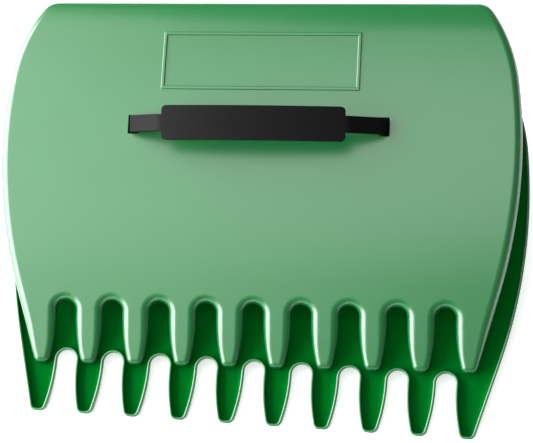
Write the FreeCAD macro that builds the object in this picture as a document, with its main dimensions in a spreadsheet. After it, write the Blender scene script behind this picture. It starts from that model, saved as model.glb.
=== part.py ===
import FreeCAD, Part
import math
import os
import Sketcher
from FreeCAD import Placement, Rotation, Vector

# A pair of moulded leaf scoops, laid face to face, each with its hand strap.
# Each scoop is modelled in a frame of its own: X across, Y from the tooth tips (0) to the top edge,
# Z out of the convex face, with Z = 0 where the face meets the line of the tips.

DRIVING_SIZES = {
    # the curve of the face, from the tips to the top edge
    "scoopHeight": 276.0,
    "toothSlope": 9.0,
    "toothRun": 62.0,
    "bodyRadius": 560.0,
    "lipRun": 24.0,
    "lipRadius": 70.0,
    "rimDepth": 9.0,
    "wall": 2.2,
    # the barrel outline
    "sideSlope": 15.4,
    "sideRun": 57.5,
    "sideRadius": 401.0,
    "shoulderDrop": 62.0,
    "shoulderRadius": 132.0,
    "cornerRadius": 14.0,
    # the teeth
    "toothCount": 10,
    "toothPitch": 35.4,
    "tipWidth": 10.4,
    "tipFlat": 0.4,
    "gapDepth": 47.0,
    "gapRadius": 7.2,
    "toothSideRadius": 125.0,
    "faceRounding": 4.6,
    "roundingMargin": 0.4,
    # the raised rib that frames the place for a label
    "ribFrameWidth": 149.0,
    "ribFrameHeight": 45.0,
    "ribFrameDrop": 48.0,
    "ribWidth": 2.4,
    "ribRise": 1.0,
    # the hand strap
    "strapDrop": 98.0,
    "slotSpacing": 188.0,
    "strapThickness": 3.5,
    "strapWidth": 25.5,
    "strapMiddleLength": 136.0,
    "strapRise": 34.0,
    "strapShoulderRise": 27.0,
    "strapBend": 9.0,
    "legRise": 2.0,
    "tabWidth": 12.5,
    "strapCorner": 3.5,
    "strapEdge": 0.7,
    "footWidth": 20.0,
    "footLength": 9.0,
    # clearances
    "slotClearance": 0.7,
    "slotPlay": 1.8,
    "footClearance": 0.3,
    "restClearance": 0.3,
    # how the upper scoop lies on the lower one, and how far its strap leans towards the teeth
    "upperShiftAcross": -6.0,
    "upperShiftUp": 42.0,
    "upperTurn": 2.1,
    "upperStrapLean": 10.0,
}

# sizes that follow from the driving ones
DERIVED_SIZES = {
    "bodyEnd": "Sizes.scoopHeight - Sizes.lipRun",
    "tipHalfWidth": "((Sizes.toothCount - 1) * Sizes.toothPitch + Sizes.tipWidth) / 2",
    "tipRadius": "(Sizes.tipWidth - Sizes.tipFlat) / 2",
    "edgeRounding": "min(Sizes.faceRounding; (Sizes.tipWidth - Sizes.tipFlat) / 2 - Sizes.roundingMargin)",
    "ribFrameMiddle": "Sizes.scoopHeight - Sizes.ribFrameDrop",
    "strapPlace": "Sizes.scoopHeight - Sizes.strapDrop",
    "shoulderPlace": "Sizes.scoopHeight - Sizes.shoulderDrop",
    "footDrop": "Sizes.wall + Sizes.footClearance + sin(Sizes.upperStrapLean * 1deg) * Sizes.footWidth / 2",
}

OVERRUN = 12.0  # how far a cutting shape runs past what it cuts
BLOCK_DEPTH = 40.0  # from the face down to the flat bottom of an unhollowed block
NEAR = 0.01  # two places closer than this are the same place
ROOT = (-1, 1)
ACROSS_AXIS = -1
UP_AXIS = -2
START = 1
END = 2
CENTRE = 3

doc = FreeCAD.newDocument("leaf_scoops")


def fillSheet(name, rows):
    sheet = doc.addObject("Spreadsheet::Sheet", name)
    for row, (alias, content) in enumerate(rows.items(), start=1):
        sheet.set(f"A{row}", alias)
        sheet.set(f"B{row}", content)
        sheet.setAlias(f"B{row}", alias)
    doc.recompute()
    return sheet


driving = fillSheet("Sizes", {alias: str(value) for alias, value in DRIVING_SIZES.items()})
derived = fillSheet("Derived", {alias: f"={formula}" for alias, formula in DERIVED_SIZES.items()})


def size(alias):
    return float(getattr(derived if alias in DERIVED_SIZES else driving, alias))


# ---- the curve of the face, as plain geometry ----

class FaceCurve:
    """The middle section of the face: a straight tooth run, the body arc and the lip arc."""

    def __init__(self):
        self.slope = math.radians(size("toothSlope"))
        self.bodyRadius = size("bodyRadius")
        self.lipRadius = size("lipRadius")
        along = Vector(math.cos(self.slope), math.sin(self.slope))
        self.runEnd = along * size("toothRun")
        self.bodyCentre = self.runEnd + Vector(along.y, -along.x) * self.bodyRadius
        reach = size("bodyEnd") - self.bodyCentre.x
        drop = math.sqrt(self.bodyRadius ** 2 - reach ** 2)
        self.bodyEnd = Vector(size("bodyEnd"), self.bodyCentre.y + drop)
        share = (self.bodyRadius - self.lipRadius) / self.bodyRadius
        self.lipCentre = self.bodyCentre + (self.bodyEnd - self.bodyCentre) * share

    def height(self, y):
        if y <= self.runEnd.x:
            return y * math.tan(self.slope)
        if y <= self.bodyEnd.x:
            return self.bodyCentre.y + math.sqrt(self.bodyRadius ** 2 - (y - self.bodyCentre.x) ** 2)
        return self.lipCentre.y + math.sqrt(self.lipRadius ** 2 - (y - self.lipCentre.x) ** 2)

    def bodySlope(self, y):
        return -math.degrees(math.asin((y - self.bodyCentre.x) / self.bodyRadius))


curve = FaceCurve()


# ---- sketch helpers ----

def sketchOn(body, role, name):
    plane = next(item for item in body.Origin.OriginFeatures if item.Role == role)
    sketch = body.newObject("Sketcher::SketchObject", name)
    sketch.AttachmentSupport = [(plane, "")]
    sketch.MapMode = "FlatFace"
    return sketch


def addLine(sketch, start, end):
    return sketch.addGeometry(Part.LineSegment(Vector(*start), Vector(*end)), False)


def addArc(sketch, centre, start, end):
    # counter-clockwise from start to end
    first = math.atan2(start[1] - centre[1], start[0] - centre[0])
    last = math.atan2(end[1] - centre[1], end[0] - centre[0])
    radius = math.hypot(start[0] - centre[0], start[1] - centre[1])
    circle = Part.Circle(Vector(*centre), Vector(0, 0, 1), radius)
    return sketch.addGeometry(Part.ArcOfCircle(circle, first, last), False)


def hold(sketch, kind, *references):
    sketch.addConstraint(Sketcher.Constraint(kind, *references))


def drive(sketch, kind, references, value, expression):
    index = sketch.addConstraint(Sketcher.Constraint(kind, *references, value))
    sketch.setExpression(f"Constraints[{index}]", expression)


# ---- the scoop's solid ----

def drawFace(body, name):
    """The face curve, closed by a flat bottom well below the rim."""
    sketch = sketchOn(body, "YZ_Plane", name)
    start = (-OVERRUN, -OVERRUN * math.tan(curve.slope))
    topY = size("scoopHeight") + OVERRUN
    top = (topY, curve.height(topY))
    runEnd = (curve.runEnd.x, curve.runEnd.y)
    bodyEnd = (curve.bodyEnd.x, curve.bodyEnd.y)
    run = addLine(sketch, start, runEnd)
    bodyArc = addArc(sketch, (curve.bodyCentre.x, curve.bodyCentre.y), bodyEnd, runEnd)
    lipArc = addArc(sketch, (curve.lipCentre.x, curve.lipCentre.y), top, bodyEnd)
    topEnd = addLine(sketch, top, (topY, -BLOCK_DEPTH))
    bottom = addLine(sketch, (topY, -BLOCK_DEPTH), (-OVERRUN, -BLOCK_DEPTH))
    tipEnd = addLine(sketch, (-OVERRUN, -BLOCK_DEPTH), start)
    hold(sketch, "Tangent", run, END, bodyArc, END)
    hold(sketch, "Tangent", bodyArc, START, lipArc, END)
    hold(sketch, "Coincident", lipArc, START, topEnd, START)
    hold(sketch, "Coincident", topEnd, END, bottom, START)
    hold(sketch, "Coincident", bottom, END, tipEnd, START)
    hold(sketch, "Coincident", tipEnd, END, run, START)
    hold(sketch, "Vertical", topEnd)
    hold(sketch, "Horizontal", bottom)
    hold(sketch, "Vertical", tipEnd)
    hold(sketch, "PointOnObject", *ROOT, run)
    drive(sketch, "Angle", (run,), curve.slope, "Sizes.toothSlope * 1deg")
    drive(sketch, "Distance", (*ROOT, run, END), size("toothRun"), "Sizes.toothRun")
    drive(sketch, "DistanceX", (*ROOT, run, START), -OVERRUN, str(-OVERRUN))
    drive(sketch, "DistanceY", (*ROOT, bottom, START), -BLOCK_DEPTH, str(-BLOCK_DEPTH))
    drive(sketch, "Radius", (bodyArc,), size("bodyRadius"), "Sizes.bodyRadius")
    drive(sketch, "Radius", (lipArc,), size("lipRadius"), "Sizes.lipRadius")
    drive(sketch, "DistanceX", (*ROOT, bodyArc, START), bodyEnd[0], "Derived.bodyEnd")
    drive(sketch, "DistanceX", (*ROOT, lipArc, START), topY, f"Sizes.scoopHeight + {OVERRUN}")
    return sketch


def drawOutline(body, name):
    """The barrel outline inside a larger rectangle: the ring between them is cut away."""
    sketch = sketchOn(body, "XY_Plane", name)
    height = size("scoopHeight")
    slope = math.radians(size("sideSlope"))
    radius = size("sideRadius")
    shoulder = size("shoulderRadius")
    corner = size("cornerRadius")
    tip = Vector(size("tipHalfWidth"), 0)
    runEnd = tip + Vector(math.tan(slope), 1) * size("sideRun")
    sideCentre = runEnd + Vector(-math.cos(slope), math.sin(slope)) * radius
    sideY = size("shoulderPlace")
    sideEnd = Vector(sideCentre.x + math.sqrt(radius ** 2 - (sideY - sideCentre.y) ** 2), sideY)
    shoulderCentre = sideEnd + (sideCentre - sideEnd) * (shoulder / radius)
    cornerY = height - corner
    across = math.sqrt((shoulder - corner) ** 2 - (cornerY - shoulderCentre.y) ** 2)
    cornerCentre = Vector(shoulderCentre.x + across, cornerY)
    shoulderEnd = shoulderCentre + (cornerCentre - shoulderCentre) * (shoulder / (shoulder - corner))
    topEnd = Vector(cornerCentre.x, height)

    def pair(point, side):
        return (side * point.x, point.y)

    right = addLine(sketch, pair(tip, 1), pair(runEnd, 1))
    rightArc = addArc(sketch, pair(sideCentre, 1), pair(runEnd, 1), pair(sideEnd, 1))
    rightShoulder = addArc(sketch, pair(shoulderCentre, 1), pair(sideEnd, 1), pair(shoulderEnd, 1))
    rightCorner = addArc(sketch, pair(cornerCentre, 1), pair(shoulderEnd, 1), pair(topEnd, 1))
    top = addLine(sketch, pair(topEnd, 1), pair(topEnd, -1))
    leftCorner = addArc(sketch, pair(cornerCentre, -1), pair(topEnd, -1), pair(shoulderEnd, -1))
    leftShoulder = addArc(sketch, pair(shoulderCentre, -1), pair(shoulderEnd, -1), pair(sideEnd, -1))
    leftArc = addArc(sketch, pair(sideCentre, -1), pair(sideEnd, -1), pair(runEnd, -1))
    left = addLine(sketch, pair(runEnd, -1), pair(tip, -1))
    tips = addLine(sketch, pair(tip, -1), pair(tip, 1))
    hold(sketch, "Tangent", right, END, rightArc, START)
    hold(sketch, "Tangent", rightArc, END, rightShoulder, START)
    hold(sketch, "Tangent", rightShoulder, END, rightCorner, START)
    hold(sketch, "Tangent", rightCorner, END, top, START)
    hold(sketch, "Coincident", top, END, leftCorner, START)
    hold(sketch, "Coincident", leftCorner, END, leftShoulder, START)
    hold(sketch, "Coincident", leftShoulder, END, leftArc, START)
    hold(sketch, "Coincident", leftArc, END, left, START)
    hold(sketch, "Coincident", left, END, tips, START)
    hold(sketch, "Coincident", tips, END, right, START)
    for rightPoint, leftPoint in (((right, START), (left, END)), ((right, END), (left, START)),
                                  ((rightArc, END), (leftArc, START)),
                                  ((rightShoulder, END), (leftShoulder, START)),
                                  ((top, START), (top, END))):
        hold(sketch, "Symmetric", *rightPoint, *leftPoint, UP_AXIS)
    hold(sketch, "Equal", rightArc, leftArc)
    hold(sketch, "Equal", rightShoulder, leftShoulder)
    hold(sketch, "Equal", rightCorner, leftCorner)
    hold(sketch, "PointOnObject", right, START, ACROSS_AXIS)
    drive(sketch, "DistanceX", (*ROOT, right, START), tip.x, "Derived.tipHalfWidth")
    drive(sketch, "DistanceY", (*ROOT, right, END), runEnd.y, "Sizes.sideRun")
    drive(sketch, "Angle", (right,), math.pi / 2 - slope, "90deg - Sizes.sideSlope * 1deg")
    drive(sketch, "Radius", (rightArc,), radius, "Sizes.sideRadius")
    drive(sketch, "DistanceY", (*ROOT, rightArc, END), sideY, "Derived.shoulderPlace")
    drive(sketch, "Radius", (rightShoulder,), shoulder, "Sizes.shoulderRadius")
    drive(sketch, "Radius", (rightCorner,), corner, "Sizes.cornerRadius")
    drive(sketch, "DistanceY", (*ROOT, top, START), height, "Sizes.scoopHeight")
    outside = Vector(tip.x + 3 * size("toothPitch"), height + 2 * OVERRUN)
    frame = ((outside.x, -2 * OVERRUN), (outside.x, outside.y),
             (-outside.x, outside.y), (-outside.x, -2 * OVERRUN))
    sides = [addLine(sketch, frame[index], frame[(index + 1) % 4]) for index in range(4)]
    for index in range(4):
        hold(sketch, "Coincident", sides[index], END, sides[(index + 1) % 4], START)
        hold(sketch, "Vertical" if index % 2 == 0 else "Horizontal", sides[index])
    drive(sketch, "DistanceX", (*ROOT, sides[2], START), -outside.x,
          "-(Derived.tipHalfWidth + 3 * Sizes.toothPitch)")
    drive(sketch, "DistanceX", (*ROOT, sides[0], START), outside.x,
          "Derived.tipHalfWidth + 3 * Sizes.toothPitch")
    drive(sketch, "DistanceY", (*ROOT, sides[0], START), -2 * OVERRUN, str(-2 * OVERRUN))
    drive(sketch, "DistanceY", (*ROOT, sides[0], END), outside.y,
          f"Sizes.scoopHeight + {2 * OVERRUN}")
    return sketch


def drawGap(body, name):
    """The first gap between two teeth: a round arch with bowed sides, open at the tips."""
    sketch = sketchOn(body, "XY_Plane", name)
    place = -(size("toothCount") - 2) / 2 * size("toothPitch")
    placeSize = "-(Sizes.toothCount - 2) / 2 * Sizes.toothPitch"
    half = (size("toothPitch") - size("tipWidth")) / 2
    archRadius = size("gapRadius")
    bow = size("toothSideRadius")
    arch = Vector(0, size("gapDepth") - archRadius)
    mouth = Vector(half, 0)
    # the bowed side's centre lies bow + archRadius from the arch's centre and bow from the mouth
    span = (mouth - arch).Length
    along = (mouth - arch) / span
    reach = ((bow + archRadius) ** 2 - bow ** 2 + span ** 2) / (2 * span)
    offset = math.sqrt((bow + archRadius) ** 2 - reach ** 2)
    bowCentre = arch + along * reach + Vector(-along.y, along.x) * offset
    springing = arch + (bowCentre - arch) * (archRadius / (bow + archRadius))

    def pair(point, side):
        return (place + side * point.x, point.y)

    mouthEnd = Vector(half, -2 * OVERRUN)
    archArc = addArc(sketch, pair(arch, 1), pair(springing, 1), pair(springing, -1))
    rightArc = addArc(sketch, pair(bowCentre, 1), pair(springing, 1), pair(mouth, 1))
    right = addLine(sketch, pair(mouth, 1), pair(mouthEnd, 1))
    bottom = addLine(sketch, pair(mouthEnd, 1), pair(mouthEnd, -1))
    left = addLine(sketch, pair(mouthEnd, -1), pair(mouth, -1))
    leftArc = addArc(sketch, pair(bowCentre, -1), pair(mouth, -1), pair(springing, -1))
    hold(sketch, "Tangent", archArc, START, rightArc, START)
    hold(sketch, "Tangent", archArc, END, leftArc, END)
    hold(sketch, "Coincident", rightArc, END, right, START)
    hold(sketch, "Coincident", right, END, bottom, START)
    hold(sketch, "Coincident", bottom, END, left, START)
    hold(sketch, "Coincident", left, END, leftArc, START)
    hold(sketch, "Vertical", right)
    hold(sketch, "Vertical", left)
    hold(sketch, "Horizontal", bottom)
    hold(sketch, "PointOnObject", right, START, ACROSS_AXIS)
    hold(sketch, "PointOnObject", left, END, ACROSS_AXIS)
    drive(sketch, "Radius", (archArc,), archRadius, "Sizes.gapRadius")
    drive(sketch, "Radius", (rightArc,), bow, "Sizes.toothSideRadius")
    drive(sketch, "Radius", (leftArc,), bow, "Sizes.toothSideRadius")
    drive(sketch, "DistanceX", (*ROOT, archArc, CENTRE), place, placeSize)
    drive(sketch, "DistanceY", (*ROOT, archArc, CENTRE), arch.y, "Sizes.gapDepth - Sizes.gapRadius")
    drive(sketch, "DistanceX", (*ROOT, right, START), place + half,
          placeSize + " + (Sizes.toothPitch - Sizes.tipWidth) / 2")
    drive(sketch, "DistanceX", (*ROOT, left, END), place - half,
          placeSize + " - (Sizes.toothPitch - Sizes.tipWidth) / 2")
    drive(sketch, "DistanceY", (*ROOT, bottom, START), -2 * OVERRUN, str(-2 * OVERRUN))
    return sketch


def cutThrough(body, sketch, name):
    pocket = body.newObject("PartDesign::Pocket", name)
    pocket.Profile = sketch
    pocket.SideType = "Symmetric"
    pocket.Type = "Length"
    pocket.Length = 4 * BLOCK_DEPTH
    doc.recompute()
    return pocket


def padAcross(body, sketch, name):
    pad = body.newObject("PartDesign::Pad", name)
    pad.Profile = sketch
    pad.SideType = "Symmetric"
    pad.Type = "Length"
    pad.Length = 2 * (size("tipHalfWidth") + size("toothPitch") * 2)
    pad.setExpression("Length", "2 * (Derived.tipHalfWidth + 2 * Sizes.toothPitch)")
    doc.recompute()
    return pad


def edgeNames(shape, wanted):
    return [f"Edge{index}" for index, edge in enumerate(shape.Edges, start=1) if wanted(edge)]


def roundEdges(body, base, names, radiusSize, name):
    fillet = body.newObject("PartDesign::Fillet", name)
    fillet.Base = (base, names)
    fillet.Radius = size(radiusSize)
    home = "Derived" if radiusSize in DERIVED_SIZES else "Sizes"
    fillet.setExpression("Radius", f"{home}.{radiusSize}")
    doc.recompute()
    return fillet


def spots(edge):
    first, last = edge.ParameterRange
    return [edge.valueAt(first + (last - first) * share) for share in (0.1, 0.5, 0.9)]


def isTipCorner(edge):
    upright = abs(edge.Vertexes[0].X - edge.Vertexes[-1].X) < NEAR
    return upright and all(abs(vertex.Y) < NEAR for vertex in edge.Vertexes)


def onFace(edge):
    return all(abs(spot.z - curve.height(spot.y)) < NEAR for spot in spots(edge))


def makeBlock(prefix):
    """The scoop's outside as one solid block, open to no side, flat below."""
    body = doc.addObject("PartDesign::Body", f"{prefix}_block")
    padAcross(body, drawFace(body, f"{prefix}_face_sketch"), f"{prefix}_face_pad")
    cutThrough(body, drawOutline(body, f"{prefix}_outline_sketch"), f"{prefix}_outline_cut")
    gap = cutThrough(body, drawGap(body, f"{prefix}_gap_sketch"), f"{prefix}_gap_cut")
    gaps = body.newObject("PartDesign::LinearPattern", f"{prefix}_gaps")
    gaps.Originals = [gap]
    axis = next(item for item in body.Origin.OriginFeatures if item.Role == "X_Axis")
    gaps.Direction = (axis, [""])
    gaps.Mode = "Extent"
    gaps.setExpression("Length", "(Sizes.toothCount - 2) * Sizes.toothPitch")
    gaps.Occurrences = int(size("toothCount")) - 1
    gaps.setExpression("Occurrences", "Sizes.toothCount - 1")
    body.Tip = gaps
    doc.recompute()
    tips = roundEdges(body, gaps, edgeNames(gaps.Shape, isTipCorner), "tipRadius", f"{prefix}_tips")
    faces = [face for face in tips.Shape.Faces if all(onFace(edge) for edge in face.Edges)]
    seams = [edge for face in faces for edge in face.Edges
             if sum(other.isSame(edge) for face in faces for other in face.Edges) > 1]
    rounding = edgeNames(tips.Shape, lambda edge: onFace(edge)
                         and not any(seam.isSame(edge) for seam in seams))
    roundEdges(body, tips, rounding, "edgeRounding", f"{prefix}_rounding")
    return body


# ---- the shell: block and rib, hollowed by the block's own offset, trimmed to the rim ----

def makeFaceSolid(name, rise, riseSize):
    """Everything under the face curve, moved up or down."""
    body = doc.addObject("PartDesign::Body", name)
    padAcross(body, drawFace(body, f"{name}_sketch"), f"{name}_pad")
    body.Placement.Base.z = rise
    body.setExpression(".Placement.Base.z", riseSize)
    return body


def makeBox(name, sizes, expressions):
    box = doc.addObject("Part::Box", name)
    for side, value, expression in zip(("Length", "Width", "Height"), sizes, expressions):
        setattr(box, side, value)
        box.setExpression(side, expression)
    return box


def combine(kind, name, base, tool):
    result = doc.addObject(kind, name)
    result.Base = base
    result.Tool = tool
    return result


def makeRib(prefix):
    """A raised rectangular frame on the face, under the top edge."""
    boxes = []
    for part, rim in (("outer", 0), ("inner", 1)):
        across = size("ribFrameWidth") - 2 * rim * size("ribWidth")
        high = size("ribFrameHeight") - 2 * rim * size("ribWidth")
        box = makeBox(f"{prefix}_rib_{part}", (across, high, 2 * BLOCK_DEPTH), (
            f"Sizes.ribFrameWidth - {2 * rim} * Sizes.ribWidth",
            f"Sizes.ribFrameHeight - {2 * rim} * Sizes.ribWidth",
            str(2 * BLOCK_DEPTH)))
        box.Placement.Base = Vector(-across / 2, size("ribFrameMiddle") - high / 2, -BLOCK_DEPTH / 2)
        box.setExpression(".Placement.Base.x", "-Length / 2")
        box.setExpression(".Placement.Base.y", "Derived.ribFrameMiddle * 1mm - Width / 2")
        boxes.append(box)
    frame = combine("Part::Cut", f"{prefix}_rib_frame", *boxes)
    lifted = makeFaceSolid(f"{prefix}_rib_level", size("ribRise"), "Sizes.ribRise")
    rib = doc.addObject("Part::MultiCommon", f"{prefix}_rib")
    rib.Shapes = [frame, lifted]
    return rib


def strapFrame():
    """Where the strap's own frame sits on the scoop's face: on the face and square to it."""
    place = size("strapPlace")
    return Placement(Vector(0, place, curve.height(place)),
                     Rotation(Vector(1, 0, 0), curve.bodySlope(place)))


def makeSlots(prefix):
    slots = []
    for side, label in ((-1, "left"), (1, "right")):
        sizes = (size("strapThickness") + 2 * size("slotPlay"),
                 size("tabWidth") + 2 * size("slotClearance"), OVERRUN)
        slot = makeBox(f"{prefix}_{label}_slot", sizes, (
            "Sizes.strapThickness + 2 * Sizes.slotPlay",
            "Sizes.tabWidth + 2 * Sizes.slotClearance", str(OVERRUN)))
        corner = Vector(side * size("slotSpacing") / 2 - sizes[0] / 2, -sizes[1] / 2, -OVERRUN / 2)
        slot.Placement = strapFrame() * Placement(corner, Rotation())
        slots.append(slot)
    return slots


def makeShell(prefix):
    block = makeBlock(prefix)
    core = doc.addObject("Part::Offset", f"{prefix}_core")
    core.Source = block
    core.Value = -size("wall")
    core.setExpression("Value", "-Sizes.wall")
    core.Mode = "Skin"
    core.Join = "Arc"
    below = makeFaceSolid(f"{prefix}_below_rim", -size("rimDepth"), "-Sizes.rimDepth")
    raised = combine("Part::Fuse", f"{prefix}_raised", block, makeRib(prefix))
    hollow = combine("Part::Cut", f"{prefix}_hollow", raised, core)
    trimmed = combine("Part::Cut", f"{prefix}_trimmed", hollow, below)
    left, right = makeSlots(prefix)
    oneSlot = combine("Part::Cut", f"{prefix}_one_slot", trimmed, left)
    shell = combine("Part::Cut", f"{prefix}_scoop_shell", oneSlot, right)
    shell.Label = f"{prefix}_scoop_shell"
    doc.recompute()
    return shell


# ---- the hand strap: X across the scoop, Y across the strap, Z = 0 at the scoop's face ----

def drawStrap(body, name):
    """The right half of the strap seen along Y: crown, shoulder bend, tab, slot bend and leg."""
    sketch = sketchOn(body, "XZ_Plane", name)
    thick = size("strapThickness")
    shoulder = Vector(size("strapMiddleLength") / 2, size("strapShoulderRise"))
    sag = size("strapRise") - shoulder.y
    crownRadius = (shoulder.x ** 2 + sag ** 2) / (2 * sag)
    crownCentre = Vector(0, size("strapRise") - crownRadius)
    out = (shoulder - crownCentre) / crownRadius
    bend = size("strapBend") + thick
    bendOne = shoulder - out * bend
    bendTwo = Vector(size("slotSpacing") / 2 + thick / 2 - bend, size("legRise"))
    along = (bendTwo - bendOne).normalize()
    off = Vector(-along.y, along.x)
    legEnd = -(size("footDrop") + thick)

    chains = []
    for inset in (0, thick):
        radius = bend - inset
        top = Vector(0, size("strapRise") - inset)
        joints = (top, shoulder - out * inset, bendOne + off * radius, bendTwo + off * radius,
                  bendTwo + Vector(radius, 0), Vector(bendTwo.x + radius, legEnd))
        flat = [(joint.x, joint.y) for joint in joints]
        crown = addArc(sketch, (0, crownCentre.y), flat[1], flat[0])
        first = addArc(sketch, (bendOne.x, bendOne.y), flat[2], flat[1])
        tab = addLine(sketch, flat[2], flat[3])
        second = addArc(sketch, (bendTwo.x, bendTwo.y), flat[4], flat[3])
        leg = addLine(sketch, flat[4], flat[5])
        hold(sketch, "Tangent", crown, START, first, END)
        hold(sketch, "Tangent", first, START, tab, START)
        hold(sketch, "Tangent", tab, END, second, END)
        hold(sketch, "Tangent", second, START, leg, START)
        hold(sketch, "Vertical", leg)
        hold(sketch, "PointOnObject", crown, END, UP_AXIS)
        chains.append((crown, first, tab, second, leg))
    outer, inner = chains
    for index in (0, 1, 3):
        hold(sketch, "Coincident", outer[index], CENTRE, inner[index], CENTRE)
    hold(sketch, "PointOnObject", outer[0], CENTRE, UP_AXIS)
    foot = addLine(sketch, (bendTwo.x + bend, legEnd), (bendTwo.x + bend - thick, legEnd))
    middle = addLine(sketch, (0, size("strapRise") - thick), (0, size("strapRise")))
    hold(sketch, "Coincident", foot, START, outer[4], END)
    hold(sketch, "Coincident", foot, END, inner[4], END)
    hold(sketch, "Horizontal", foot)
    hold(sketch, "Coincident", middle, START, inner[0], END)
    hold(sketch, "Coincident", middle, END, outer[0], END)
    drive(sketch, "DistanceY", (*ROOT, outer[0], END), size("strapRise"), "Sizes.strapRise")
    drive(sketch, "DistanceX", (*ROOT, outer[0], START), shoulder.x, "Sizes.strapMiddleLength / 2")
    drive(sketch, "DistanceY", (*ROOT, outer[0], START), shoulder.y, "Sizes.strapShoulderRise")
    drive(sketch, "DistanceX", (*ROOT, outer[4], START), bendTwo.x + bend,
          "(Sizes.slotSpacing + Sizes.strapThickness) / 2")
    drive(sketch, "DistanceY", (*ROOT, outer[4], START), bendTwo.y, "Sizes.legRise")
    drive(sketch, "DistanceY", (*ROOT, outer[4], END), legEnd,
          "-(Derived.footDrop + Sizes.strapThickness)")
    for index in (1, 3):
        drive(sketch, "Radius", (outer[index],), bend, "Sizes.strapBend + Sizes.strapThickness")
        drive(sketch, "Radius", (inner[index],), bend - thick, "Sizes.strapBend")
    return sketch


def drawRectangle(sketch, low, high, lowSizes, highSizes):
    corners = ((low[0], low[1]), (high[0], low[1]), (high[0], high[1]), (low[0], high[1]))
    sides = [addLine(sketch, corners[index], corners[(index + 1) % 4]) for index in range(4)]
    for index in range(4):
        hold(sketch, "Coincident", sides[index], END, sides[(index + 1) % 4], START)
        hold(sketch, "Horizontal" if index % 2 == 0 else "Vertical", sides[index])
    for axis, place in (("DistanceX", 0), ("DistanceY", 1)):
        drive(sketch, axis, (*ROOT, sides[0], START), low[place], lowSizes[place])
        drive(sketch, axis, (*ROOT, sides[2], START), high[place], highSizes[place])


def makeStrap(prefix):
    body = doc.addObject("PartDesign::Body", f"{prefix}_hand_strap")
    pad = body.newObject("PartDesign::Pad", f"{prefix}_strap_pad")
    pad.Profile = drawStrap(body, f"{prefix}_strap_sketch")
    pad.SideType = "Symmetric"
    pad.Length = size("strapWidth")
    pad.setExpression("Length", "Sizes.strapWidth")
    doc.recompute()

    shoulder = size("strapMiddleLength") / 2
    outside = size("slotSpacing") / 2 + OVERRUN
    tabs = sketchOn(body, "XY_Plane", f"{prefix}_tab_sketch")
    for side in (-1, 1):
        edges = sorted((side * size("tabWidth") / 2, side * (size("strapWidth") / 2 + OVERRUN)))
        edgeSizes = (f"{side} * Sizes.tabWidth / 2", f"{side} * (Sizes.strapWidth / 2 + {OVERRUN})")
        drawRectangle(tabs, (shoulder, edges[0]), (outside, edges[1]),
                      ("Sizes.strapMiddleLength / 2", edgeSizes[side < 0]),
                      (f"Sizes.slotSpacing / 2 + {OVERRUN}", edgeSizes[side > 0]))
    narrow = cutThrough(body, tabs, f"{prefix}_tab_cut")

    footSketch = sketchOn(body, "XY_Plane", f"{prefix}_foot_sketch")
    footSketch.setExpression(".AttachmentOffset.Base.z", "-Derived.footDrop")
    leg = size("slotSpacing") / 2
    drawRectangle(footSketch,
                  (leg - size("footLength") / 2, -size("footWidth") / 2),
                  (leg + size("footLength") / 2, size("footWidth") / 2),
                  ("(Sizes.slotSpacing - Sizes.footLength) / 2", "-Sizes.footWidth / 2"),
                  ("(Sizes.slotSpacing + Sizes.footLength) / 2", "Sizes.footWidth / 2"))
    foot = body.newObject("PartDesign::Pad", f"{prefix}_foot_pad")
    foot.Profile = footSketch
    foot.Reversed = True
    foot.Length = size("strapThickness")
    foot.setExpression("Length", "Sizes.strapThickness")
    doc.recompute()

    halves = body.newObject("PartDesign::Mirrored", f"{prefix}_strap_halves")
    halves.Originals = [pad, narrow, foot]
    halves.MirrorPlane = (next(item for item in body.Origin.OriginFeatures
                               if item.Role == "YZ_Plane"), [""])
    body.Tip = halves
    doc.recompute()

    def isShoulderCorner(edge):
        return all(abs(abs(spot.y) - size("strapWidth") / 2) < NEAR
                   and abs(abs(spot.x) - shoulder) < NEAR for spot in spots(edge))

    corners = roundEdges(body, halves, edgeNames(halves.Shape, isShoulderCorner), "strapCorner",
                         f"{prefix}_strap_corners")

    sag = size("strapRise") - size("strapShoulderRise")
    crownRadius = (shoulder ** 2 + sag ** 2) / (2 * sag)
    crownCentre = Vector(0, 0, size("strapRise") - crownRadius)

    def isCrownEdge(edge):
        return all(abs(spot.y) > size("tabWidth") / 2 + NEAR
                   and abs((Vector(spot.x, 0, spot.z) - crownCentre).Length - crownRadius) < NEAR
                   for spot in spots(edge))

    roundEdges(body, corners, edgeNames(corners.Shape, isCrownEdge), "strapEdge",
               f"{prefix}_strap_edges")
    body.Label = f"{prefix}_hand_strap"
    return body


# ---- where the two scoops lie ----

def restTilt():
    """The slope of the floor that touches the rounded tips and the strap's lower crown edge."""
    rounding = size("edgeRounding")
    tip = Vector(rounding, rounding * math.tan(curve.slope) - rounding / math.cos(curve.slope))
    edge = size("strapEdge")
    local = Vector(0, edge - size("strapWidth") / 2, size("strapRise") - edge)
    onScoop = strapFrame().multVec(local)
    crown = Vector(onScoop.y, onScoop.z)
    reach = crown - tip
    lean = math.asin((rounding - edge) / reach.Length)
    return math.degrees(math.atan2(reach.y, reach.x) - lean)


def upperLift():
    """How far the upper scoop's frame lies above the lower one's, clear of it everywhere."""
    turn = math.radians(size("upperTurn"))
    wallDrop = size("wall") / math.cos(curve.slope)
    centre = size("scoopHeight") / 2
    lifts = []
    for tooth in range(int(size("toothCount"))):
        across = (tooth - (size("toothCount") - 1) / 2) * size("toothPitch")
        along = across * math.sin(turn) - centre * math.cos(turn) + centre + size("upperShiftUp")
        lifts.append(size("rimDepth") + wallDrop - curve.height(along))
    top = size("scoopHeight")
    for side in (-1, 1):
        across = side * (size("tipHalfWidth") - size("upperShiftAcross"))
        along = centre + (centre - size("upperShiftUp")) * math.cos(turn) - across * math.sin(turn)
        lifts.append(size("rimDepth") + wallDrop - curve.height(top) - curve.height(along))
    return max(lifts) + size("restClearance")


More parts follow.
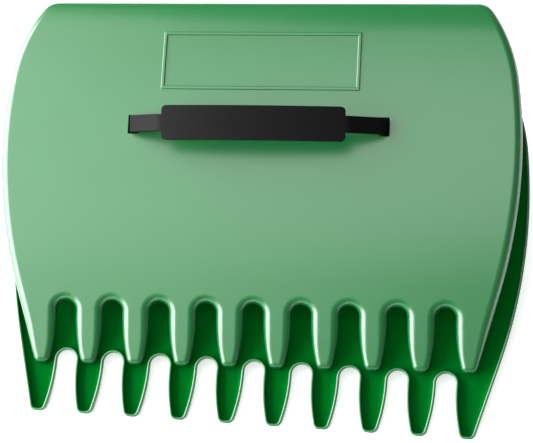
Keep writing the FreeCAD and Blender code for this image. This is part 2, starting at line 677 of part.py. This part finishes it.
def scoopPlacements():
    tilt = Placement(Vector(), Rotation(Vector(1, 0, 0), restTilt()))
    lower = tilt * Placement(Vector(), Rotation(Vector(0, 1, 0), 180))
    middle = Vector(0, size("scoopHeight") / 2, 0)
    shift = Vector(size("upperShiftAcross"), size("upperShiftUp"), upperLift())
    turned = Placement(middle + shift, Rotation(Vector(0, 0, 1), size("upperTurn")))
    upper = tilt * turned * Placement(-middle, Rotation())
    return {"lower": lower, "upper": upper}


# the upper strap has flopped towards the teeth, the lower one is held square by the floor
leans = {"lower": 0.0, "upper": size("upperStrapLean")}
pieces = []
for prefix, placement in scoopPlacements().items():
    shell = makeShell(prefix)
    shell.Placement = placement
    strap = makeStrap(prefix)
    lean = Placement(Vector(), Rotation(Vector(1, 0, 0), leans[prefix]))
    strap.Placement = placement * strapFrame() * lean
    pieces += [shell, strap]
doc.recompute()

# the pair's frame: the middle of the box's underside is the origin
whole = Part.makeCompound([piece.Shape for piece in pieces]).optimalBoundingBox(False, False)
home = Placement(Vector(-whole.Center.x, -whole.Center.y, -whole.ZMin), Rotation())
for piece in pieces:
    piece.Placement = home * piece.Placement
doc.recompute()

# ---- checks, then the files ----

for item in doc.Objects:
    faults = {"Invalid", "Error"} & set(item.State)
    if faults:
        raise RuntimeError(f"{item.Label} is {', '.join(sorted(faults))}")
for piece in pieces:
    if piece.Shape.isNull() or not piece.Shape.isValid() or len(piece.Shape.Solids) != 1:
        raise RuntimeError(f"{piece.Label} isn't one valid solid")

os.makedirs("parts", exist_ok=True)
for piece in pieces:
    piece.Shape.exportStep(f"parts/{piece.Label}.step")
    box = piece.Shape.BoundBox
    print(f"{piece.Label}: {piece.Shape.Volume / 1000:.1f} cm3,"
          f" {box.XLength:.1f} x {box.YLength:.1f} x {box.ZLength:.1f} mm, from z {box.ZMin:.2f}")
print(f"rest tilt {restTilt():.2f} degrees, upper lift {upperLift():.2f} mm")
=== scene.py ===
import bmesh
import bpy
import math
from mathutils import Matrix, Vector


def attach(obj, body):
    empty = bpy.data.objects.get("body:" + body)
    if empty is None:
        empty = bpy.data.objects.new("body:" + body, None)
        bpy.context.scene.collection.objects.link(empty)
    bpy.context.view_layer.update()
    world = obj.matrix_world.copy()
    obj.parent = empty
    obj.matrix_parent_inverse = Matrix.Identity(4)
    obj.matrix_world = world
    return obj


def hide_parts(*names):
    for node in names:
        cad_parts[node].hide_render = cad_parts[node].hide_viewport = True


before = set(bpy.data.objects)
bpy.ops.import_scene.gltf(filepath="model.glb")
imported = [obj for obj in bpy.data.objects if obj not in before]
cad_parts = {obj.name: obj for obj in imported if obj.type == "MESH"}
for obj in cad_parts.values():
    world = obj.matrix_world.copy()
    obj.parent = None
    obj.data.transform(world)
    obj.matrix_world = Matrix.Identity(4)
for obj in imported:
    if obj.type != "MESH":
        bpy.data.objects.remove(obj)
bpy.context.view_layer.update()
mm = 0.001


# materials

def linear(hexColour):
    channels = [int(hexColour[index:index + 2], 16) / 255 for index in (0, 2, 4)]
    return [value / 12.92 if value <= 0.04045 else ((value + 0.055) / 1.055) ** 2.4
            for value in channels] + [1]


def addNode(material, kind, **inputs):
    node = material.node_tree.nodes.new(kind)
    for name, value in inputs.items():
        node.inputs[name.replace("_", " ")].default_value = value
    return node


def newMaterial(name):
    material = bpy.data.materials.new(name)
    material.use_nodes = True
    shader = material.node_tree.nodes["Principled BSDF"]
    return material, shader


def mouldedPlastic(name, look):
    # colour drifts a little over the moulding, and the skin has the fine grain of a spark-eroded mould
    material, shader = newMaterial(name)
    link = material.node_tree.links.new
    place = addNode(material, "ShaderNodeTexCoord").outputs["Object"]
    drift = addNode(material, "ShaderNodeTexNoise", Scale=1 / look["driftSize"], Detail=3.0, Roughness=0.55)
    link(place, drift.inputs["Vector"])
    tone = addNode(material, "ShaderNodeMix")
    tone.data_type = "RGBA"
    tone.inputs["A"].default_value = linear(look["colour"])
    tone.inputs["B"].default_value = linear(look["driftColour"])
    link(drift.outputs["Fac"], tone.inputs["Factor"])
    link(tone.outputs["Result"], shader.inputs["Base Color"])
    gloss = addNode(material, "ShaderNodeMapRange")
    gloss.inputs["To Min"].default_value = look["roughness"] - look["roughnessDrift"]
    gloss.inputs["To Max"].default_value = look["roughness"] + look["roughnessDrift"]
    link(drift.outputs["Fac"], gloss.inputs["Value"])
    link(gloss.outputs["Result"], shader.inputs["Roughness"])
    grain = addNode(material, "ShaderNodeTexNoise", Scale=1 / look["grainSize"], Detail=2.0)
    link(place, grain.inputs["Vector"])
    bump = addNode(material, "ShaderNodeBump", Strength=look["grainStrength"], Distance=look["grainDepth"])
    link(grain.outputs["Fac"], bump.inputs["Height"])
    link(bump.outputs["Normal"], shader.inputs["Normal"])
    shader.inputs["Specular IOR Level"].default_value = look["specular"]
    # the inner skin's faint painted glow, an emission that stands in for light through the thin wall
    if "paintedGlow" in look:
        shader.inputs["Emission Color"].default_value = look["paintedGlow"]
        shader.inputs["Emission Strength"].default_value = 1.0
    return material


# polypropylene from a textured mould (sizes in metres): it takes the light as a broad pale veil
outerLook = {"colour": "005221", "driftColour": "005725", "driftSize": 0.06, "roughness": 0.3,
             "roughnessDrift": 0.02, "grainSize": 0.0009, "grainStrength": 0.25, "grainDepth": 0.00004,
             "specular": 0.9}
# polypropylene off the polished core: deeper and clearer, with a faint painted glow that stands in for light
# through the thin wall
innerLook = {"colour": "004a12", "driftColour": "004f15", "driftSize": 0.05, "roughness": 0.3,
             "roughnessDrift": 0.03, "grainSize": 0.002, "grainStrength": 0.08, "grainDepth": 0.00003,
             "specular": 0.0, "paintedGlow": (0.0, 0.022, 0.002, 1)}
# black polyethylene from an etched mould, satin with a fine grain
strapLook = {"colour": "080708", "driftColour": "0b0a0b", "driftSize": 0.02, "roughness": 0.5,
             "roughnessDrift": 0.05, "grainSize": 0.0006, "grainStrength": 0.3, "grainDepth": 0.00005,
             "specular": 0.06}
outerPlastic = mouldedPlastic("texturedPolypropyleneMoulding", outerLook)
innerPlastic = mouldedPlastic("polishedPolypropyleneMoulding", innerLook)
strapPlastic = mouldedPlastic("etchedPolyethyleneMoulding", strapLook)

# the shell, on the same curves as the part, in millimetres and degrees
# its own frame has x across, y from the tooth tips to the straight edge, and z out of the hollow

shell = {
    "height": 276.0, "toothSlope": 9.0, "toothRun": 62.0, "bodyRadius": 560.0, "lipRun": 24.0,
    "lipRadius": 70.0, "rimDepth": 9.0, "wall": 2.2,
    "tipRounding": 4.6, "rounding": 6.6, "roundingFrom": 6.0, "roundingTo": 32.0,
    "sideSlope": 15.4, "sideRun": 57.5, "sideRadius": 401.0, "shoulderY": 214.0,
    "shoulderRadius": 132.0, "cornerRadius": 14.0,
    "toothCount": 10, "pitch": 35.4, "tipWidth": 10.4, "tipRadius": 5.0,
    "gapDepth": 47.0, "gapRadius": 7.2, "bow": 125.0,
    "ribWide": 149.0, "ribHigh": 45.0, "ribY": 228.0, "ribWidth": 2.4, "ribRise": 1.0, "ribBevel": 0.95,
    "slotX": 94.0, "slotHalfAcross": 3.55, "slotY": 178.0, "slotHalfUp": 6.94, "slotBevel": 0.45,
    "bowSteps": 10, "tipSteps": 9, "archSteps": 20, "runSteps": 14, "sideSteps": 40,
    "shoulderSteps": 14, "cornerSteps": 12, "topSteps": 60,
    "step": 4.0, "ringCount": 13, "edgeBevel": 0.3, "sharpAngle": 50.0, "rimBevel": 1.0,
}
weld = 1e-5  # points nearer than this (mm) are one


# the face from the side: a straight tooth run, the body's arc, then the lip's
def faceCurve(s):
    slope = math.radians(s["toothSlope"])
    runEnd = Vector((math.cos(slope), math.sin(slope))) * s["toothRun"]
    body = runEnd + Vector((math.sin(slope), -math.cos(slope))) * s["bodyRadius"]
    bodyY = s["height"] - s["lipRun"]
    bodyEnd = Vector((bodyY, body.y + math.sqrt(s["bodyRadius"] ** 2 - (bodyY - body.x) ** 2)))
    lip = body + (bodyEnd - body) * ((s["bodyRadius"] - s["lipRadius"]) / s["bodyRadius"])

    def height(y):
        if y <= runEnd.x:
            return y * math.tan(slope)
        centre, radius = (body, s["bodyRadius"]) if y <= bodyY else (lip, s["lipRadius"])
        return centre.y + math.sqrt(radius ** 2 - (y - centre.x) ** 2)

    def steepness(y):
        if y <= runEnd.x:
            return math.tan(slope)
        centre, radius = (body, s["bodyRadius"]) if y <= bodyY else (lip, s["lipRadius"])
        return -(y - centre.x) / math.sqrt(radius ** 2 - (y - centre.x) ** 2)

    return height, steepness


faceHeight, faceSteepness = faceCurve(shell)


# the outline as places with outward directions, anticlockwise from the first tooth's outer side

def sampleArc(centre, radius, first, last, count, hollow=False):
    places = []
    for index in range(count):
        angle = first + (last - first) * index / count
        out = Vector((math.cos(angle), math.sin(angle)))
        places.append((Vector(centre) + out * radius, -out if hollow else out))
    return places


def sampleLine(start, end, count):
    along = (Vector(end) - Vector(start)).normalized()
    out = Vector((along.y, -along.x))
    return [(Vector(start).lerp(Vector(end), index / count), out) for index in range(count)]


def angleOf(vector):
    return math.atan2(vector.y, vector.x)


def outlinePlaces(s):
    half = ((s["toothCount"] - 1) * s["pitch"] + s["tipWidth"]) / 2
    slope = math.radians(s["sideSlope"])
    tip = Vector((half, 0))
    runEnd = tip + Vector((math.tan(slope), 1)) * s["sideRun"]
    side = runEnd + Vector((-math.cos(slope), math.sin(slope))) * s["sideRadius"]
    sideEndX = side.x + math.sqrt(s["sideRadius"] ** 2 - (s["shoulderY"] - side.y) ** 2)
    sideEnd = Vector((sideEndX, s["shoulderY"]))
    shoulder = sideEnd + (side - sideEnd) * (s["shoulderRadius"] / s["sideRadius"])
    cornerY = s["height"] - s["cornerRadius"]
    reach = s["shoulderRadius"] - s["cornerRadius"]
    corner = Vector((shoulder.x + math.sqrt(reach ** 2 - (cornerY - shoulder.y) ** 2), cornerY))
    cornerAngle = angleOf(corner - shoulder)
    sideAngle = angleOf(sideEnd - side)

    # the gap's arch and bowed sides, about the gap's own middle
    arch = Vector((0, s["gapDepth"] - s["gapRadius"]))
    mouth = Vector(((s["pitch"] - s["tipWidth"]) / 2, 0))
    span = (mouth - arch).length
    along = (mouth - arch) / span
    far = s["bow"] + s["gapRadius"]
    onward = (far ** 2 - s["bow"] ** 2 + span ** 2) / (2 * span)
    bow = arch + along * onward + Vector((-along.y, along.x)) * math.sqrt(far ** 2 - onward ** 2)
    springing = angleOf(bow - arch)

    # the tip's rounding against the bowed side
    inside = s["bow"] - s["tipRadius"]
    r = s["tipRadius"]
    # the bow's centre for a tooth's right side, about the tooth's middle
    rightBow = Vector((s["pitch"] / 2 - bow.x, bow.y))
    tipX = rightBow.x + math.sqrt(inside ** 2 - (r - rightBow.y) ** 2)
    tipAngle = angleOf(Vector((tipX, r)) - rightBow)
    endAngle = angleOf(arch + Vector((-math.cos(springing), math.sin(springing))) * s["gapRadius"]
                       - Vector((-bow.x, bow.y)))
    outerTipX = half + r * math.tan(slope) - r / math.cos(slope)

    places = []
    for tooth in range(s["toothCount"]):
        x = (tooth - (s["toothCount"] - 1) / 2) * s["pitch"]
        first, final = tooth == 0, tooth == s["toothCount"] - 1
        leftX, rightX = x - tipX, x + tipX
        leftFrom, rightTo = math.pi - tipAngle, tipAngle
        if first:
            leftX, leftFrom = -outerTipX, math.pi + slope
        else:
            leftBow = Vector((x - rightBow.x, rightBow.y))
            places += sampleArc(leftBow, s["bow"], math.pi - endAngle, math.pi - tipAngle, s["bowSteps"])
        if final:
            rightX, rightTo = outerTipX, -slope
        places += sampleArc((leftX, r), r, leftFrom, 1.5 * math.pi, s["tipSteps"])
        places += sampleLine((leftX, 0), (rightX, 0), 1)
        places += sampleArc((rightX, r), r, -0.5 * math.pi, rightTo, s["tipSteps"])
        if not final:
            bowPlace = (x + rightBow.x, rightBow.y)
            places += sampleArc(bowPlace, s["bow"], tipAngle, endAngle, s["bowSteps"])
            middle = Vector((x + s["pitch"] / 2, arch.y))
            places += sampleArc(middle, s["gapRadius"], math.pi - springing, springing, s["archSteps"],
                                hollow=True)
    rightTip = (Vector((outerTipX, r)) + Vector((math.cos(slope), -math.sin(slope))) * r)
    right = sampleLine(rightTip, runEnd, s["runSteps"])
    right += sampleArc(side, s["sideRadius"], -slope, sideAngle, s["sideSteps"])
    right += sampleArc(shoulder, s["shoulderRadius"], sideAngle, cornerAngle, s["shoulderSteps"])
    right += sampleArc(corner, s["cornerRadius"], cornerAngle, math.pi / 2, s["cornerSteps"])
    topEnd = Vector((corner.x, s["height"]))
    top = sampleLine(topEnd, (-topEnd.x, topEnd.y), s["topSteps"])
    mirrored = [(Vector((-place.x, place.y)), Vector((-out.x, out.y)))
                for place, out in reversed(right[1:] + [(topEnd, Vector((0, 1)))])]
    return places + right + top + mirrored


def roundingAt(s, y):
    share = min(max((y - s["roundingFrom"]) / (s["roundingTo"] - s["roundingFrom"]), 0), 1)
    return s["tipRounding"] + (s["rounding"] - s["tipRounding"]) * share * share * (3 - 2 * share)


def surfaceHeight(s, y, inward, lean, inset, r):
    # the height of the skin, inset from the outer face, at a distance inward from the outline
    slope = faceSteepness(y)
    fall = min(slope * lean, 0.0)
    stretch = math.sqrt(1 + fall ** 2)
    face = faceHeight(y) - inset * math.sqrt(1 + slope ** 2)
    tangent = r + (r - inset) * fall / stretch
    if inward >= tangent:
        return face
    centre = faceHeight(y) - fall * (r - inward) - r * stretch
    return min(face, centre + math.sqrt(max((r - inset) ** 2 - (r - inward) ** 2, 0)))


def makeSkin(mesh, s, places, inset, rings, marks):
    # one skin: rings of places from the outline inward, then the field inside them cut along the marks
    loops = []
    for turn in rings:
        loop = []
        for place, out in places:
            r = roundingAt(s, place.y)
            inward = r - (r - inset) * math.cos(turn)
            spot = place - out * inward
            loop.append(mesh.verts.new((spot.x, spot.y, surfaceHeight(s, spot.y, inward, out.y, inset, r))))
        loops.append(loop)
    count = len(places)
    for outerLoop, innerLoop in zip(loops, loops[1:]):
        for index in range(count):
            after = (index + 1) % count
            corners = (outerLoop[index], outerLoop[after], innerLoop[after], innerLoop[index])
            mesh.faces.new(corners).material_index = int(inset > 0)
    field = [mesh.faces.new(loops[-1])]
    field[0].material_index = int(inset > 0)
    for axis, value in marks:
        edges = {edge for face in field for edge in face.edges}
        verts = {vert for face in field for vert in face.verts}
        normal = Vector((1, 0, 0)) if axis == 0 else Vector((0, 1, 0))
        result = bmesh.ops.bisect_plane(mesh, geom=list(verts) + list(edges) + field, dist=weld,
                                        plane_co=normal * value, plane_no=normal)
        field = [item for item in result["geom"] if isinstance(item, bmesh.types.BMFace)]
    for vert in {vert for face in field for vert in face.verts}:
        vert.co.z = surfaceHeight(s, vert.co.y, s["rounding"], 0.0, inset, s["rounding"])
    return loops[0], field


def roundEdges(mesh, edges, offset, segments, clamp=True):
    bmesh.ops.bevel(mesh, geom=edges, offset=offset, affect="EDGES", segments=segments, profile=0.5,
                    material=-1, clamp_overlap=clamp)


def finishPiece(name, mesh, placement, *plastics):
    # from millimetres in the scoop's own frame to metres where it lies, shaded evenly
    for face in mesh.faces:
        face.smooth = True
    mesh.transform(placement @ Matrix.Diagonal((mm, mm, mm, 1)))
    data = bpy.data.meshes.new(name)
    mesh.to_mesh(data)
    mesh.free()
    for plastic in plastics:
        data.materials.append(plastic)
    piece = bpy.data.objects.new(name, data)
    bpy.context.scene.collection.objects.link(piece)
    weighted = piece.modifiers.new("even shading", "WEIGHTED_NORMAL")
    weighted.keep_sharp = True
    print(name, "faces", len(data.polygons))
    return piece


def inside(face, x, y, halfAcross, halfUp):
    middle = face.calc_center_median()
    return abs(abs(middle.x) - x) < halfAcross and abs(middle.y - y) < halfUp


def makeShell(name, s, placement):
    mesh = bmesh.new()
    places = outlinePlaces(s)
    turns = [math.pi / 2 * ring / (s["ringCount"] - 1) for ring in range(s["ringCount"])]
    levels = int(s["height"] / s["step"])
    marks = [(1, s["height"] * (level + 0.5) / levels) for level in range(levels)]
    marks += [(1, s["slotY"] + side * s["slotHalfUp"]) for side in (-1, 1)]
    marks += [(0, across * s["slotX"] + side * s["slotHalfAcross"]) for across in (-1, 1) for side in (-1, 1)]
    ribMarks = []
    for shrink in (0, s["ribWidth"]):
        for side in (-1, 1):
            ribMarks.append((0, side * (s["ribWide"] / 2 - shrink)))
            ribMarks.append((1, s["ribY"] + side * (s["ribHigh"] / 2 - shrink)))
    outerLoop, outerField = makeSkin(mesh, s, places, 0.0, turns, marks + ribMarks)
    innerLoop, innerField = makeSkin(mesh, s, places, s["wall"], turns[::2], marks)
    print(name, "skins", len(mesh.faces))

    # the slots: matching holes in both skins, joined by their own walls
    slotSpot = (s["slotX"], s["slotY"], s["slotHalfAcross"], s["slotHalfUp"])
    gone = [face for face in outerField + innerField if inside(face, *slotSpot)]
    keptOuter = [face for face in outerField if not inside(face, *slotSpot)]
    bmesh.ops.delete(mesh, geom=gone, context="FACES")

    def spotOf(vert):
        return round(vert.co.x, 2), round(vert.co.y, 2)

    def bySlot(vert):
        across, up = abs(abs(vert.co.x) - s["slotX"]), abs(vert.co.y - s["slotY"])
        return across < s["slotHalfAcross"] + s["wall"] and up < s["slotHalfUp"] + s["wall"]

    holeEdges = [edge for edge in mesh.edges if len(edge.link_faces) == 1 and bySlot(edge.verts[0])]
    mouths = [edge for edge in holeEdges if edge.link_faces[0].material_index == 0]
    below = {spotOf(vert): vert for edge in holeEdges if edge not in mouths for vert in edge.verts}
    for edge in mouths:
        first, last = edge.verts
        mesh.faces.new((first, last, below[spotOf(last)], below[spotOf(first)]))

    # the raised frame
    def inRib(face):
        middle = face.calc_center_median()
        across, up = abs(middle.x), abs(middle.y - s["ribY"])
        within = across < s["ribWide"] / 2 and up < s["ribHigh"] / 2
        hollow = across < s["ribWide"] / 2 - s["ribWidth"] and up < s["ribHigh"] / 2 - s["ribWidth"]
        return within and not hollow

    rib = [face for face in keptOuter if inRib(face)]
    raised = bmesh.ops.extrude_face_region(mesh, geom=rib)["geom"]
    bmesh.ops.delete(mesh, geom=rib, context="FACES")
    bmesh.ops.translate(mesh, verts=[item for item in raised if isinstance(item, bmesh.types.BMVert)],
                        vec=(0, 0, s["ribRise"]))
    tops = {item for item in raised if isinstance(item, bmesh.types.BMFace)}
    ribEdges = [edge for edge in mesh.edges if sum(face in tops for face in edge.link_faces) == 1]
    bmesh.ops.recalc_face_normals(mesh, faces=mesh.faces)
    for edges, offset in ((ribEdges, s["ribBevel"]), (mouths, s["slotBevel"])):
        roundEdges(mesh, edges, offset, 5)

    # the flank's straight wall, the rim and the inner wall
    def join(first, second, finish):
        for index in range(len(first)):
            after = (index + 1) % len(first)
            face = mesh.faces.new((first[index], first[after], second[after], second[index]))
            face.material_index = finish

    outerRim, innerRim = ([mesh.verts.new((vert.co.x, vert.co.y, faceHeight(vert.co.y) - s["rimDepth"]))
                           for vert in loop] for loop in (outerLoop, innerLoop))
    join(outerLoop, outerRim, 0)
    join(innerLoop, innerRim, 1)
    join(outerRim, innerRim, 0)
    rimEdges = [mesh.edges.get((loop[index - 1], loop[index]))
                for loop in (outerRim, innerRim) for index in range(len(loop))]
    bmesh.ops.recalc_face_normals(mesh, faces=mesh.faces)
    roundEdges(mesh, rimEdges, s["rimBevel"], 4, clamp=False)
    bmesh.ops.remove_doubles(mesh, verts=mesh.verts, dist=weld)
    bmesh.ops.recalc_face_normals(mesh, faces=mesh.faces)
    print(name, "open edges", sum(len(edge.link_faces) != 2 for edge in mesh.edges))

    # a small round on every edge that is still sharp
    sharp = [edge for edge in mesh.edges if edge.calc_face_angle(0) > math.radians(s["sharpAngle"])]
    roundEdges(mesh, sharp, s["edgeBevel"], 2)
    return finishPiece(name, mesh, placement, outerPlastic, innerPlastic)


# the strap: a flat rounded strip, bent along crown, shoulder, tab, slot bend and leg
# millimetres and degrees, and its own frame stands on the face between the slots

band = {
    "thickness": 3.5, "width": 25.5, "tabWidth": 12.5, "middle": 136.0, "rise": 34.0,
    "shoulderRise": 27.0, "bend": 9.0, "legRise": 2.0, "slotSpacing": 2 * shell["slotX"], "corner": 3.5,
    "cornerSteps": 6, "edge": 0.7, "sharpAngle": 60.0,
    "footDrop": 4.236, "footWidth": 20.0, "footLength": 9.0, "step": 1.5, "topLean": 10.0,
}


def bandPath(s):
    # the outer side of the strap's right half as arcs and lines, and a function from length to place
    thick = s["thickness"]
    shoulder = Vector((s["middle"] / 2, s["shoulderRise"]))
    sag = s["rise"] - shoulder.y
    crownRadius = (shoulder.x ** 2 + sag ** 2) / (2 * sag)
    crownCentre = Vector((0, s["rise"] - crownRadius))
    out = (shoulder - crownCentre).normalized()
    bend = s["bend"] + thick
    first = shoulder - out * bend
    second = Vector((s["slotSpacing"] / 2 + thick / 2 - bend, s["legRise"]))
    along = (second - first).normalized()
    off = Vector((-along.y, along.x))
    legEnd = -(s["footDrop"] + thick)
    crownAngle, tabAngle = angleOf(out), angleOf(off)
    lengths = [crownRadius * (math.pi / 2 - crownAngle), bend * (crownAngle - tabAngle),
               (second - first).length, bend * tabAngle, s["legRise"] - legEnd]

    def at(length):
        # the place on the outer side, and the direction out of it
        if length <= lengths[0]:
            angle = math.pi / 2 - length / crownRadius
            away = Vector((math.cos(angle), math.sin(angle)))
            return crownCentre + away * crownRadius, away
        length -= lengths[0]
        if length <= lengths[1]:
            angle = crownAngle - length / bend
            away = Vector((math.cos(angle), math.sin(angle)))
            return first + away * bend, away
        length -= lengths[1]
        if length <= lengths[2]:
            return first + off * bend + along * length, off
        length -= lengths[2]
        if length <= lengths[3]:
            angle = tabAngle - length / bend
            away = Vector((math.cos(angle), math.sin(angle)))
            return second + away * bend, away
        length -= lengths[3]
        return Vector((second.x + bend, second.y - length)), Vector((1, 0))

    return at, lengths


def makeStrap(name, s, placement):
    at, lengths = bandPath(s)
    whole, wide = sum(lengths), lengths[0]
    half, tabHalf, corner = s["width"] / 2, s["tabWidth"] / 2, s["corner"]
    mesh = bmesh.new()
    quarter = [(wide, tabHalf)]
    for index in range(s["cornerSteps"] + 1):
        angle = index / s["cornerSteps"] * math.pi / 2
        quarter.append((wide - corner + corner * math.cos(angle), half - corner + corner * math.sin(angle)))
    right = [(whole, -tabHalf), (whole, tabHalf)] + quarter
    outline = right + [(-u, v) for u, v in reversed(quarter)] + [(-whole, tabHalf), (-whole, -tabHalf)]
    outline += [(-u, -v) for u, v in quarter] + [(u, -v) for u, v in reversed(quarter)]
    strip = mesh.faces.new([mesh.verts.new((u, v, 0)) for u, v in outline])
    raised = bmesh.ops.extrude_face_region(mesh, geom=[strip])["geom"]
    bmesh.ops.translate(mesh, verts=[item for item in raised if isinstance(item, bmesh.types.BMVert)],
                        vec=(0, 0, -s["thickness"]))
    bmesh.ops.recalc_face_normals(mesh, faces=mesh.faces)
    sharp = [edge for edge in mesh.edges if edge.calc_face_angle(0) > math.radians(s["sharpAngle"])
             and abs(edge.verts[0].co.z - edge.verts[1].co.z) < weld]
    roundEdges(mesh, sharp, s["edge"], 4)
    steps = int(whole / s["step"])
    for index in range(-steps, steps + 1):
        bmesh.ops.bisect_plane(mesh, geom=mesh.verts[:] + mesh.edges[:] + mesh.faces[:], dist=weld,
                               plane_co=(index * whole / (steps + 1), 0, 0), plane_no=(1, 0, 0))
    for vert in mesh.verts:
        side = -1 if vert.co.x < 0 else 1
        place, away = at(abs(vert.co.x))
        spot = place + away * vert.co.z
        vert.co = (spot.x * side, vert.co.y, spot.y)
    for side in (-1, 1):
        foot = bmesh.ops.create_cube(mesh, size=1.0)["verts"]
        bmesh.ops.scale(mesh, verts=foot, vec=(s["footLength"], s["footWidth"], s["thickness"]))
        bmesh.ops.translate(mesh, verts=foot, vec=(side * s["slotSpacing"] / 2, 0,
                                                   -s["footDrop"] - s["thickness"] / 2))
        edges = list({edge for vert in foot for edge in vert.link_edges})
        roundEdges(mesh, edges, s["edge"], 3, clamp=False)
    bmesh.ops.recalc_face_normals(mesh, faces=mesh.faces)
    return finishPiece(name, mesh, placement, strapPlastic)


# where the scoops lie: the lower one hollow side up, the upper one on it

# millimetres and degrees: the tilt lets the lower one rest on its tooth tips and its strap's crown
lie = {"tilt": 16.9046, "turn": 2.1, "lower": (3.5454, -154.3785, -0.4966),
       "upper": (2.6022, -115.7869, 17.2784)}
tilt = Matrix.Rotation(math.radians(lie["tilt"]), 4, "X")
lowerPlace = Matrix.Translation(Vector(lie["lower"]) * mm) @ tilt @ Matrix.Rotation(math.pi, 4, "Y")
upperPlace = (Matrix.Translation(Vector(lie["upper"]) * mm) @ tilt
              @ Matrix.Rotation(math.radians(lie["turn"]), 4, "Z"))

# the strap's frame on the face, square to it between the slots
slotY = shell["slotY"]
onFace = (Matrix.Translation(Vector((0, slotY, faceHeight(slotY))) * mm)
          @ Matrix.Rotation(math.atan(faceSteepness(slotY)), 4, "X"))

for prefix, placement in (("lower", lowerPlace), ("upper", upperPlace)):
    piece = makeShell(f"{prefix}MouldedShell", shell, placement)
    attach(piece, f"{prefix}_scoop")
    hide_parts(f"{prefix}_scoop_shell")
    lean = band["topLean"] if prefix == "upper" else 0
    strapPlace = placement @ onFace @ Matrix.Rotation(math.radians(lean), 4, "X")
    strap = makeStrap(f"{prefix}MouldedStrap", band, strapPlace)
    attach(strap, f"{prefix}_scoop")
    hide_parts(f"{prefix}_hand_strap")
print("pieces made")

# floor, light and view

# a matt white floor with a little glow of its own, so it stays plain under the soft shadows
white = (1, 1, 1, 1)
floorLook = {"paint": (0.9, 0.9, 0.9, 1), "roughness": 0.9, "glow": 0.6, "half": 3.0}
floorMaterial, floorShader = newMaterial("paintedStudioFloor")
floorShader.inputs["Base Color"].default_value = floorLook["paint"]
floorShader.inputs["Roughness"].default_value = floorLook["roughness"]
floorShader.inputs["Emission Color"].default_value = white
floorShader.inputs["Emission Strength"].default_value = floorLook["glow"]
floorMesh = bmesh.new()
bmesh.ops.create_grid(floorMesh, x_segments=1, y_segments=1, size=floorLook["half"])
floorData = bpy.data.meshes.new("studioFloor")
floorMesh.to_mesh(floorData)
floorMesh.free()
floor = bpy.data.objects.new("studioFloor", floorData)
floorData.materials.append(floorMaterial)
bpy.context.scene.collection.objects.link(floor)

lamps = {
    # azimuth from +X, height above the floor (degrees), distance, width, height (m), radiance
    "frontSoftbox": (222, 80, 2.6, 1.8, 2.5, 2.6),
    "upperLeftSoftbox": (142, 48, 1.1, 0.7, 0.7, 2.2),
    "leftSoftbox": (184, 29, 1.8, 2.9, 1.75, 12.5),
}
for name, (azimuth, up, distance, width, height, radiance) in lamps.items():
    data = bpy.data.lights.new(name, "AREA")
    data.shape = "RECTANGLE"
    data.size = width
    data.size_y = height
    data.energy = radiance * math.pi * width * height
    lamp = bpy.data.objects.new(name, data)
    turned, raised = math.radians(azimuth), math.radians(up)
    toward = Vector((math.cos(turned) * math.cos(raised), math.sin(turned) * math.cos(raised),
                     math.sin(raised)))
    lamp.location = toward * distance
    lamp.rotation_euler = toward.to_track_quat("Z", "Y").to_euler()
    bpy.context.scene.collection.objects.link(lamp)

world = bpy.context.scene.world or bpy.data.worlds.new("studio")
bpy.context.scene.world = world
world.use_nodes = True
skyStrength = 0.3
world.node_tree.nodes["Background"].inputs["Color"].default_value = white
world.node_tree.nodes["Background"].inputs["Strength"].default_value = skyStrength

# angles in degrees, distance in metres, target, lens and sensor in millimetres
view = {"distance": 1.6, "yaw": 9.057, "pitch": 24.279, "roll": 6.818, "target": (5.61, -12.15, 50.0),
        "lens": 145.7, "sensor": 36.0}
yaw, pitch, roll = (math.radians(view[name]) for name in ("yaw", "pitch", "roll"))
forward = -Vector((math.sin(yaw) * math.cos(pitch), -math.sin(pitch), math.cos(yaw) * math.cos(pitch)))
right = forward.cross(Vector((0, 1, 0))).normalized()
above = right.cross(forward)
acrossView = right * math.cos(roll) + above * math.sin(roll)
upView = above * math.cos(roll) - right * math.sin(roll)
turnedView = Matrix((acrossView, upView, -forward)).transposed().to_4x4()
cameraData = bpy.data.cameras.new("mainView")
cameraData.lens = view["lens"]
cameraData.sensor_width = view["sensor"]
camera = bpy.data.objects.new("mainView", cameraData)
cameraSpot = Vector(view["target"]) * mm - forward * view["distance"]
camera.matrix_world = Matrix.Translation(cameraSpot) @ turnedView
bpy.context.scene.collection.objects.link(camera)
bpy.context.scene.camera = camera
bpy.context.scene.view_settings.view_transform = "Standard"
